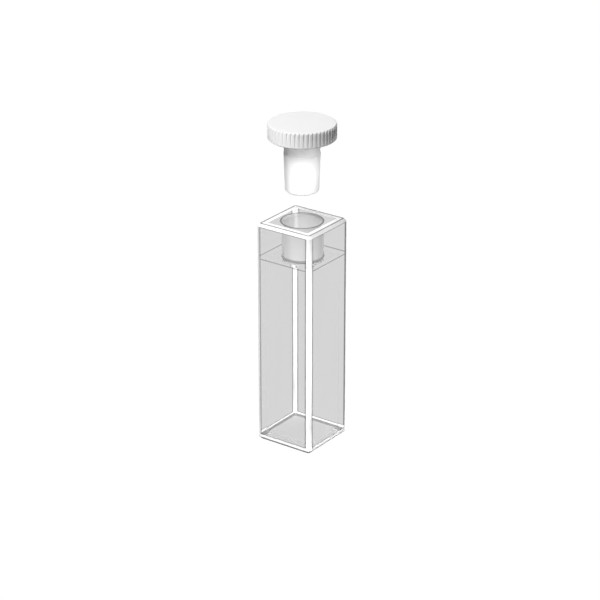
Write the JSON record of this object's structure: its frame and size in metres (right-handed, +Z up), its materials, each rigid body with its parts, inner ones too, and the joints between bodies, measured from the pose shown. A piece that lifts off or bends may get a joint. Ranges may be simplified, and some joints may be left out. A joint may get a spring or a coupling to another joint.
{
  "type": "stoppered cuvette",
  "caption": "Clear square glass cell with an open chamber, a fused tapered neck and a white knurled stopper drawn out above it.",
  "frame": {"origin": "centre of the cell's base, on the surface it stands on", "axes": "+Z up through the neck, along which the stopper is drawn out; X and Y square to the window faces"},
  "size_m": [0.013, 0.013, 0.0645],
  "materials": {
    "clear_glass": "polished",
    "white_fluoropolymer": "turned, waxy"
  },
  "bodies": {
    "cell": {"cell": "clear_glass"},
    "stopper": {"stopper": "white_fluoropolymer"}
  },
  "joints": [
    {"name": "stopper_lift", "type": "slide", "parent": "cell", "child": "stopper", "axis": [0, 0, 1], "range_m": [-0.01645, 0]}
  ]
}
